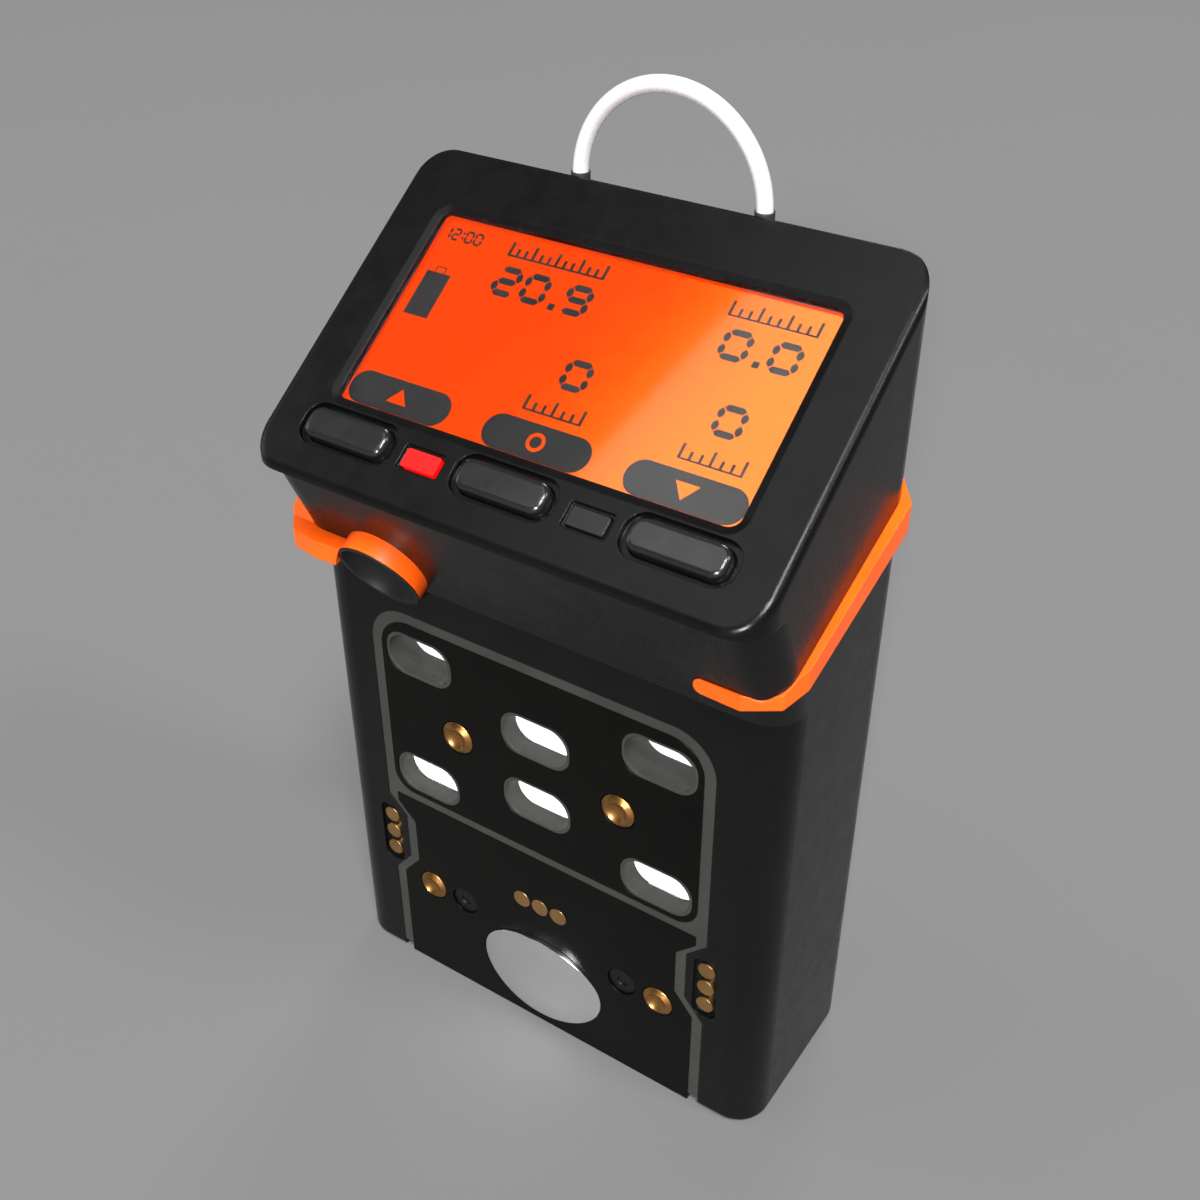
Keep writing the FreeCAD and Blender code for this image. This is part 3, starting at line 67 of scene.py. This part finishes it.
class Nodes:
    """A small helper that adds shader nodes and joins them."""

    def __init__(self, name):
        self.mat = bpy.data.materials.new(name)
        self.mat.use_nodes = True
        self.tree = self.mat.node_tree
        self.shader = self.tree.nodes["Principled BSDF"]

    def add(self, kind, **values):
        node = self.tree.nodes.new("ShaderNode" + kind)
        for key, value in values.items():
            if key in node.inputs:
                node.inputs[key].default_value = value
            else:
                setattr(node, key, value)
        return node

    def join(self, source, target):
        self.tree.links.new(source, target)

    def noise(self, scale, detail=3.0, rough=0.5):
        coords = self.add("TexCoord")
        made = self.add("TexNoise", Scale=scale, Detail=detail, Roughness=rough)
        self.join(coords.outputs["Object"], made.inputs["Vector"])
        return made.outputs["Fac"]

    def ramp(self, source, low, high, start, end):
        """Maps a value range onto another."""
        made = self.add("MapRange")
        for key, value in zip(("From Min", "From Max", "To Min", "To Max"), (low, high, start, end)):
            made.inputs[key].default_value = value
        self.join(source, made.inputs["Value"])
        return made.outputs["Result"]

    def blend(self, factor, one, two):
        """A colour between two, by a factor."""
        made = self.add("Mix", data_type="RGBA")
        self.join(factor, made.inputs[0])
        for index, colour in ((6, one), (7, two)):
            if isinstance(colour, tuple):
                made.inputs[index].default_value = (*colour, 1)
            else:
                self.join(colour, made.inputs[index])
        return made.outputs[2]

    def edges(self, radius, reach=0.12):
        """1 on sharp convex or concave edges, 0 on open surfaces."""
        soft = self.add("Bevel", Radius=radius)
        soft.samples = 4
        plain = self.add("NewGeometry")
        dot = self.add("VectorMath", operation="DOT_PRODUCT")
        self.join(soft.outputs["Normal"], dot.inputs[0])
        self.join(plain.outputs["Normal"], dot.inputs[1])
        return self.ramp(dot.outputs["Value"], 1.0, 1.0 - reach, 0.0, 1.0)

    def bump(self, source, distance, strength=1.0, soft=0.0):
        made = self.add("Bump", Distance=distance, Strength=strength)
        self.join(source, made.inputs["Height"])
        if soft:
            bevel = self.add("Bevel", Radius=soft)
            bevel.samples = 4
            self.join(bevel.outputs["Normal"], made.inputs["Normal"])
        self.join(made.outputs["Normal"], self.shader.inputs["Normal"])


def scaled(colour, by):
    return tuple(min(1.0, channel * by) for channel in colour)


def moulded(name, colour, rough=0.42, grain=0.00003, grain_scale=2600.0, wear_and_edge_highlight=0.35, gloss=0.5, ior=1.45):
    """Moulded plastic or rubber: spark texture, cloudy gloss and a painted highlight that lightens the base
    colour along convex and concave edges.
    """
    n = Nodes(name)
    n.shader.inputs["Specular IOR Level"].default_value = gloss
    n.shader.inputs["IOR"].default_value = ior
    cloud = n.noise(70.0, 5.0, 0.6)
    tint = n.blend(n.ramp(cloud, 0.35, 0.65, 0.0, 1.0), scaled(colour, 0.85), scaled(colour, 1.15))
    # Painted highlight: the base colour is made lighter along convex and concave edges, found by the bevel
    # mask.
    if wear_and_edge_highlight:
        edge_highlight_mask = n.edges(0.0007)
        tint = n.blend(n.ramp(edge_highlight_mask, 0.0, 1.0, 0.0, wear_and_edge_highlight), tint, scaled(colour, 2.2))
    n.join(tint, n.shader.inputs["Base Color"])
    smear = n.noise(240.0, 4.0, 0.65)
    n.join(n.ramp(smear, 0.3, 0.7, rough - 0.05, rough + 0.06), n.shader.inputs["Roughness"])
    n.bump(n.noise(grain_scale, 2.0), grain, 0.6, 0.00025)
    return n.mat


def metal(name, colour, rough=0.25, brush=None, wear_and_edge_highlight=0.3):
    """Plated or brushed metal, with fine marks and a little tarnish."""
    n = Nodes(name)
    n.shader.inputs["Metallic"].default_value = 1.0
    cloud = n.noise(160.0, 5.0, 0.6)
    dull, bright = scaled(colour, 1 - wear_and_edge_highlight * 0.6), scaled(colour, 1 + wear_and_edge_highlight * 0.3)
    n.join(n.blend(n.ramp(cloud, 0.3, 0.7, 0.0, 1.0), dull, bright), n.shader.inputs["Base Color"])
    marks = n.noise(900.0, 4.0, 0.6)
    if brush:
        coords = n.add("TexCoord")
        stretch = n.add("Mapping")
        stretch.inputs["Scale"].default_value = brush
        marks_node = n.add("TexNoise", Scale=1.0, Detail=4.0)
        n.join(coords.outputs["Object"], stretch.inputs["Vector"])
        n.join(stretch.outputs["Vector"], marks_node.inputs["Vector"])
        marks = marks_node.outputs["Fac"]
    n.join(n.ramp(marks, 0.3, 0.7, rough - wear_and_edge_highlight * 0.2, rough + wear_and_edge_highlight * 0.3), n.shader.inputs["Roughness"])
    n.bump(marks, 0.000006, wear_and_edge_highlight, 0.0002)
    return n.mat


def glowing(name, colour, strength):
    """A lit surface whose light varies a little over it."""
    n = Nodes(name)
    cloud = n.noise(45.0, 2.0)
    tint = n.blend(n.ramp(cloud, 0.3, 0.7, 0.0, 1.0), scaled(colour, 0.88), colour)
    n.join(tint, n.shader.inputs["Base Color"])
    n.join(tint, n.shader.inputs["Emission Color"])
    n.shader.inputs["Emission Strength"].default_value = strength
    n.shader.inputs["Roughness"].default_value = 0.3
    return n.mat


def pane(name):
    """A polished clear window with faint smears."""
    n = Nodes(name)
    n.shader.inputs["Transmission Weight"].default_value = 1.0
    n.shader.inputs["IOR"].default_value = 1.3
    smear = n.noise(60.0, 4.0, 0.6)
    n.join(n.blend(n.ramp(smear, 0.3, 0.7, 0.0, 1.0), (0.97, 0.98, 0.98), (1.0, 1.0, 1.0)),
           n.shader.inputs["Base Color"])
    n.join(n.ramp(smear, 0.35, 0.7, 0.03, 0.06), n.shader.inputs["Roughness"])
    return n.mat


def backlit(name, glow, shine, strength):
    """A lit film whose silvered back tints what it reflects."""
    n = Nodes(name)
    n.shader.inputs["Metallic"].default_value = 1.0
    cloud = n.ramp(n.noise(40.0, 2.0), 0.3, 0.7, 0.0, 1.0)
    n.join(n.blend(cloud, scaled(shine, 0.96), shine), n.shader.inputs["Base Color"])
    n.join(n.blend(cloud, scaled(glow, 0.96), glow), n.shader.inputs["Emission Color"])
    n.shader.inputs["Emission Strength"].default_value = strength
    n.join(n.ramp(n.noise(900.0, 2.0), 0.3, 0.7, 0.12, 0.16), n.shader.inputs["Roughness"])
    return n.mat


def coated(name, colour):
    """Bright coated wire: almost white, with fine drawn marks."""
    n = Nodes(name)
    n.shader.inputs["Metallic"].default_value = 0.3
    cloud = n.ramp(n.noise(220.0, 4.0, 0.6), 0.3, 0.7, 0.0, 1.0)
    n.join(n.blend(cloud, scaled(colour, 0.95), colour), n.shader.inputs["Base Color"])
    n.join(n.ramp(n.noise(1500.0), 0.3, 0.7, 0.23, 0.36), n.shader.inputs["Roughness"])
    n.bump(n.noise(2200.0, 3.0), 0.000004, 0.3)
    return n.mat


MATERIALS = {
    "case_plastic": moulded("case_plastic", (0.0026, 0.0026, 0.0026), 0.26, 0.000008, gloss=0.42, ior=1.3),
    "cover_plastic": moulded("cover_plastic", (0.0012, 0.0011, 0.0009), 0.32, 0.000008, gloss=0.3, ior=1.28),
    "key_plastic": moulded("key_plastic", (0.0075, 0.0077, 0.0082), 0.20, 0.000006, gloss=0.6),
    "orange_rubber": moulded("orange_rubber", (0.80, 0.084, 0.001), 0.40, 0.00002, wear_and_edge_highlight=0.05),
    "seal_rubber": moulded("seal_rubber", (0.022, 0.022, 0.0195), 0.55, wear_and_edge_highlight=0.1),
    "black_rubber": moulded("black_rubber", (0.015, 0.015, 0.015), 0.6, wear_and_edge_highlight=0.1),
    "black_plastic": moulded("black_plastic", (0.006, 0.006, 0.006), 0.45, gloss=0.25),
    "chip_black": moulded("chip_black", (0.012, 0.012, 0.013), 0.5),
    "board_green": moulded("board_green", (0.02, 0.13, 0.06), 0.35),
    "cell_wrap": moulded("cell_wrap", (0.04, 0.10, 0.26), 0.3),
    "sensor_can": moulded("sensor_can", (0.68, 0.68, 0.64), 0.4, wear_and_edge_highlight=0.1),
    "filter_cloth": moulded("filter_cloth", (0.97, 0.97, 0.96), 0.8, 0.00006, 1800.0, wear_and_edge_highlight=0.0),
    "bronze": metal("bronze", (0.40, 0.20, 0.062), 0.30),
    "gold_contact": metal("gold_contact", (0.48, 0.27, 0.105), 0.34),
    "dark_steel": metal("dark_steel", (0.035, 0.035, 0.037), 0.38),
    "chrome": metal("chrome", (0.95, 0.95, 0.955), 0.15, wear_and_edge_highlight=0.05),
    "bright_wire": coated("bright_wire", (0.70, 0.70, 0.71)),
    "steel": metal("steel", (0.52, 0.53, 0.54), 0.30, brush=(4000.0, 4000.0, 160.0)),
    "lcd": backlit("lcd", (1.0, 0.048, 0.0), (0.66, 0.16, 0.006), 0.95),
    "red_light": glowing("red_light", (0.95, 0.001, 0.001), 0.75),
    "dark_light": moulded("dark_light", (0.009, 0.0092, 0.0098), 0.22, 0.000005, gloss=0.3),
    "clear_lens": pane("clear_lens"),
}
for row in frame["record"]["subparts"]:
    shown = NODES[row["node"]]
    shown.data.materials.clear()
    shown.data.materials.append(MATERIALS[row["material_slot"]])


# ---- the display ----

DISPLAY_DEPTH = -1.46
INK = 0.02
INK_LEVEL = DISPLAY_DEPTH + 0.004
SYMBOL_LEVEL = DISPLAY_DEPTH + 0.03


def prism(bm, points, low, high):
    """A closed flat-topped solid over a counter-clockwise outline on the sloping face."""
    bottom = [bm.verts.new(on_face(x, up, low)) for x, up in points]
    top = [bm.verts.new(on_face(x, up, high)) for x, up in points]
    bm.faces.new(list(reversed(bottom)))
    bm.faces.new(top)
    for i in range(len(points)):
        j = (i + 1) % len(points)
        bm.faces.new((bottom[i], bottom[j], top[j], top[i]))


def ribbon(bm, path, width, low, high, closed=False):
    """A pen stroke of even width along a path, with mitred turns and square ends."""
    count = len(path)
    sides = []
    for i, point in enumerate(path):
        here = Vector(point)
        before = Vector(path[i - 1]) if closed or i else None
        after = Vector(path[(i + 1) % count]) if closed or i < count - 1 else None
        steps = [(here - before).normalized()] if before is not None else []
        steps += [(after - here).normalized()] if after is not None else []
        way = sum(steps, Vector((0, 0))).normalized()
        across = Vector((-way.y, way.x))
        lean = max(0.55, across.dot(Vector((-steps[0].y, steps[0].x))))
        reach = across * (width / 2 / lean)
        sides.append((here - reach, here + reach))
    rings = []
    for right, left in sides:
        rings.append([bm.verts.new(on_face(*p, level)) for p, level in
                      ((right, low), (left, low), (left, high), (right, high))])
    spans = range(count if closed else count - 1)
    for i in spans:
        one, two = rings[i], rings[(i + 1) % count]
        for k in range(4):
            m = (k + 1) % 4
            bm.faces.new((one[k], two[k], two[m], one[m]))
    if not closed:
        bm.faces.new(rings[0])
        bm.faces.new(list(reversed(rings[-1])))


def turn(cx, cy, rx, ry, start, end, steps=12):
    """Points along part of an ellipse, by angle in degrees."""
    made = []
    for i in range(steps + 1):
        angle = math.radians(start + (end - start) * i / steps)
        made.append((cx + rx * math.cos(angle), cy + ry * math.sin(angle)))
    return made


# Plain seven-segment numbers: each segment runs between two corners of a cell 1 wide and 1 tall.
SEGMENTS = {
    "top": ((0, 1), (1, 1)),
    "upper_right": ((1, 0.5), (1, 1)),
    "lower_right": ((1, 0), (1, 0.5)),
    "foot": ((0, 0), (1, 0)),
    "lower_left": ((0, 0), (0, 0.5)),
    "upper_left": ((0, 0.5), (0, 1)),
    "middle": ((0, 0.5), (1, 0.5)),
}
UNLIT = {
    "0": {"middle"},
    "1": {"top", "foot", "lower_left", "upper_left", "middle"},
    "2": {"lower_right", "upper_left"},
    "9": {"lower_left"},
}


def block(bm, x0, x1, y0, y1, low):
    prism(bm, [(x0, y0), (x1, y0), (x1, y1), (x0, y1)], low, low + INK)


def segment(bm, start, end, pen, low):
    """One bar with pointed ends, a little short of its corners."""
    one, two = Vector(start), Vector(end)
    way = (two - one).normalized()
    across = Vector((-way.y, way.x)) * (pen / 2)
    one, two = one + way * (pen * 0.12), two - way * (pen * 0.12)
    inset = way * (pen / 2)
    near_one, near_two = one + inset, two - inset
    prism(bm, [one, near_one - across, near_two - across, two, near_two + across, near_one + across],
          low, low + INK)


def number(bm, text, left, base, wide, tall, pen, low):
    """Writes a number; a point or colon takes less room than a digit."""
    for char in text:
        if char == ".":
            block(bm, left, left + pen, base - pen / 2, base + pen / 2, low)
            left += pen * 2.2
        elif char == ":":
            block(bm, left, left + pen, base + tall * 0.2, base + tall * 0.2 + pen, low)
            block(bm, left, left + pen, base + tall * 0.65, base + tall * 0.65 + pen, low)
            left += pen * 2.2
        else:
            for name, (start, end) in SEGMENTS.items():
                if name not in UNLIT[char]:
                    spots = [(left + x * wide, base + y * tall) for x, y in (start, end)]
                    segment(bm, *spots, pen, low)
            left += wide + pen * 1.6


def scale_marks(bm, left, right, base, count, low):
    """A row of ticks, every third one tall, over a thin line."""
    block(bm, left, right, base, base + 0.25, low)
    for i in range(count):
        x = left + (right - left - 0.4) * i / (count - 1)
        block(bm, x, x + 0.4, base + 0.25, base + (2.1 if i % 3 == 0 else 1.3), low)


def piece(bm, name, slot, body="case", smooth=False):
    """Turns a mesh into a piece that rides on a body and takes its finish from a record slot."""
    bmesh.ops.recalc_face_normals(bm, faces=bm.faces)
    mesh = bpy.data.meshes.new(name)
    bm.to_mesh(mesh)
    bm.free()
    for polygon in mesh.polygons:
        polygon.use_smooth = smooth
    made = bpy.data.objects.new(name, mesh)
    bpy.context.scene.collection.objects.link(made)
    mesh.materials.append(MATERIALS[slot])
    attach(made, body)
    return made


def rounded_outline(x0, x1, y0, y1, radius, steps=8):
    """Counter-clockwise outline of a rectangle with round corners."""
    made = []
    for cx, cy, start in ((x1 - radius, y0 + radius, -90), (x1 - radius, y1 - radius, 0),
                          (x0 + radius, y1 - radius, 90), (x0 + radius, y0 + radius, 180)):
        made += turn(cx, cy, radius, radius, start, start + 90, steps)
    return made


def make_film():
    """The lit display film under the lens."""
    bm = bmesh.new()
    prism(bm, rounded_outline(-29.3, 29.3, 13.8, 43.2, 0.5), DISPLAY_DEPTH - 0.03, DISPLAY_DEPTH)
    piece(bm, "display_film", "lcd")


def make_ink():
    """Dark segments of a generic readout: numbers, tick scales, battery gauge and the three key tabs."""
    bm = bmesh.new()
    low = INK_LEVEL
    number(bm, "12:00", -28.4, 39.9, 1.0, 1.6, 0.3, low)
    scale_marks(bm, -17.5, -2.6, 39.6, 13, low)
    number(bm, "20.9", -16.9, 34.2, 3.0, 3.5, 0.9, low)
    block(bm, -27.6, -23.75, 27.95, 34.65, low)
    ribbon(bm, [(-26.4, 34.65), (-26.4, 35.55), (-24.95, 35.55), (-24.95, 34.65)], 0.12, low, low + INK)
    scale_marks(bm, 15.2, 27.2, 39.3, 10, low)
    number(bm, "0.0", 16.6, 34.0, 3.1, 3.4, 0.9, low)
    number(bm, "0", -0.8, 24.5, 3.1, 3.4, 0.9, low)
    scale_marks(bm, -4.0, 4.6, 20.1, 7, low)
    number(bm, "0", 20.5, 24.5, 3.1, 3.4, 0.9, low)
    scale_marks(bm, 18.0, 26.6, 20.1, 7, low)
    for left, right in ((-29.1, -13.1), (-7.65, 8.0), (12.9, 29.0)):
        prism(bm, rounded_outline(left, right, 14.1, 18.85, 2.35, 12), low, low + INK)
    piece(bm, "display_ink", "chip_black")


def make_key_symbols():
    """The lit symbols in the dark key tabs: up, a ring, down."""
    bm = bmesh.new()
    low = SYMBOL_LEVEL
    prism(bm, [(-22.7, 15.5), (-19.5, 15.5), (-21.1, 17.7)], low, low + INK)
    ribbon(bm, turn(0.18, 16.48, 1.05, 1.05, 0, 345, 23), 0.5, low, low + INK, closed=True)
    prism(bm, [(19.35, 17.5), (20.95, 15.3), (22.55, 17.5)], low, low + INK)
    piece(bm, "display_symbols", "lcd")


make_film()
make_ink()
make_key_symbols()


# ---- the coiled spring of the belt clip ----

PIN_LOW, PIN_HIGH = (Vector(corner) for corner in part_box("clip_pin"))
PIN = (PIN_LOW + PIN_HIGH) / 2
WIRE = 0.45 * MM
COIL_RADIUS = 1.82 * MM
COIL_PITCH = 0.98 * MM
COIL_START = -2.2 * MM


def sweep(bm, path, radius, sides=12):
    """A round wire along a path, with flat ends."""
    ways = []
    for i in range(len(path)):
        ways.append((path[min(i + 1, len(path) - 1)] - path[max(i - 1, 0)]).normalized())
    side = ways[0].orthogonal().normalized()
    rings = []
    for point, way in zip(path, ways):
        side = (side - way * side.dot(way)).normalized()
        other = way.cross(side)
        rings.append([bm.verts.new(point + side * (radius * math.cos(a)) + other * (radius * math.sin(a)))
                      for a in (2 * math.pi * k / sides for k in range(sides))])
    for one, two in zip(rings, rings[1:]):
        for k in range(sides):
            m = (k + 1) % sides
            bm.faces.new((one[k], one[m], two[m], two[k]))
    bm.faces.new(list(reversed(rings[0])))
    bm.faces.new(rings[-1])


def coil_point(degrees):
    """A point on the coil: it starts at 180 degrees, on the case side of the pin, and moves to the right."""
    angle = math.radians(degrees)
    across = COIL_START + COIL_PITCH * (degrees - 180) / 360
    return PIN + Vector((across, COIL_RADIUS * math.cos(angle), COIL_RADIUS * math.sin(angle)))


def make_spring():
    """The coil with its leg on the base plate, and the other leg, which turns with the lever."""
    last = 1800
    coil = [coil_point(a) for a in range(180, last + 1, 15)]
    base_leg = [Vector((coil[0].x, PIN.y - 3.5 * MM, PIN.z + 5.0 * MM)),
                Vector((coil[0].x, PIN.y - 2.4 * MM, PIN.z + 2.2 * MM))]
    bm = bmesh.new()
    sweep(bm, base_leg + coil, WIRE)
    made = piece(bm, "clip_spring_coil", "steel", smooth=True)
    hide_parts("clip_spring")
    lever_leg = [coil_point(a) for a in range(last - 45, last + 1, 15)]
    lever_leg += [Vector((coil[-1].x, PIN.y + 2.1 * MM, PIN.z + 1.6 * MM)),
                  Vector((coil[-1].x, PIN.y + 2.75 * MM, PIN.z + 4.6 * MM))]
    bm = bmesh.new()
    sweep(bm, lever_leg, WIRE * 0.97)
    piece(bm, "clip_spring_leg", "steel", body="clip", smooth=True)


make_spring()


# ---- floor, lights and camera ----

VIEW_TARGET = Vector((-0.0063, 0.0104, 0.0643))
VIEW_DISTANCE = 0.215
VIEW_AZIMUTH = math.radians(33.72)
VIEW_ELEVATION = math.radians(34.78)
SENSOR = 36.0
LENS = 43.456
LIGHT_DISTANCE = 6.0


def direction(azimuth, elevation):
    """The way from the object towards a viewer or a light."""
    flat = math.cos(elevation)
    return Vector((math.sin(azimuth) * flat, -math.cos(azimuth) * flat, math.sin(elevation)))


def make_camera():
    data = bpy.data.cameras.new("camera")
    data.sensor_width = SENSOR
    data.lens = LENS
    data.clip_start = 0.01
    camera = bpy.data.objects.new("camera", data)
    bpy.context.scene.collection.objects.link(camera)
    back = direction(VIEW_AZIMUTH, VIEW_ELEVATION)
    camera.location = VIEW_TARGET + back * VIEW_DISTANCE
    camera.rotation_euler = back.to_track_quat("Z", "Y").to_euler()
    bpy.context.scene.camera = camera


def add_panel(name, size, power):
    """A rectangular light panel, which shines along its own -Z."""
    data = bpy.data.lights.new(name, "AREA")
    data.shape = "RECTANGLE"
    data.size, data.size_y = size
    data.energy = power
    light = bpy.data.objects.new(name, data)
    bpy.context.scene.collection.objects.link(light)
    return light


def make_light(name, azimuth, elevation, size, power):
    """A panel that stands round the object and faces it."""
    light = add_panel(name, size, power)
    way = direction(math.radians(azimuth), math.radians(elevation))
    light.location = VIEW_TARGET + way * LIGHT_DISTANCE
    light.rotation_euler = way.to_track_quat("Z", "Y").to_euler()


def make_ceiling():
    """A long level panel overhead; the right end of the display mirrors it."""
    light = add_panel("ceiling", (2.0, 4.0), 48.0)
    light.location = (-1.78, -1.56, 5.0)
    light.rotation_euler = (0, 0, math.radians(-33.6))


def make_floor():
    half = 4.0
    mesh = bpy.data.meshes.new("floor")
    corners = [(-half, -half, 0), (half, -half, 0), (half, half, 0), (-half, half, 0)]
    mesh.from_pydata(corners, [], [(0, 1, 2, 3)])
    floor = bpy.data.objects.new("floor", mesh)
    bpy.context.scene.collection.objects.link(floor)
    floor.location.z = -0.0002
    n = Nodes("floor")
    pale = n.blend(n.noise(8.0, 3.0), (0.115, 0.115, 0.115), (0.119, 0.119, 0.119))
    n.join(pale, n.shader.inputs["Base Color"])
    n.shader.inputs["Roughness"].default_value = 0.9
    mesh.materials.append(n.mat)


def make_world():
    world = bpy.data.worlds.new("studio")
    bpy.context.scene.world = world
    world.use_nodes = True
    background = world.node_tree.nodes["Background"]
    background.inputs["Color"].default_value = (1, 1, 1, 1)
    background.inputs["Strength"].default_value = 0.12


make_camera()
make_floor()
make_world()
make_light("key", 40, 60, (1.5, 1.5), 480.0)
make_light("side", 98, 46, (1.0, 1.0), 110.0)
make_light("front", 22, 23, (0.6, 0.6), 600.0)
make_light("left", -75, 20, (1.25, 5.0), 45.0)
make_light("back", 195, 40, (1.5, 1.5), 90.0)
make_ceiling()
bpy.context.scene.view_settings.view_transform = "Standard"
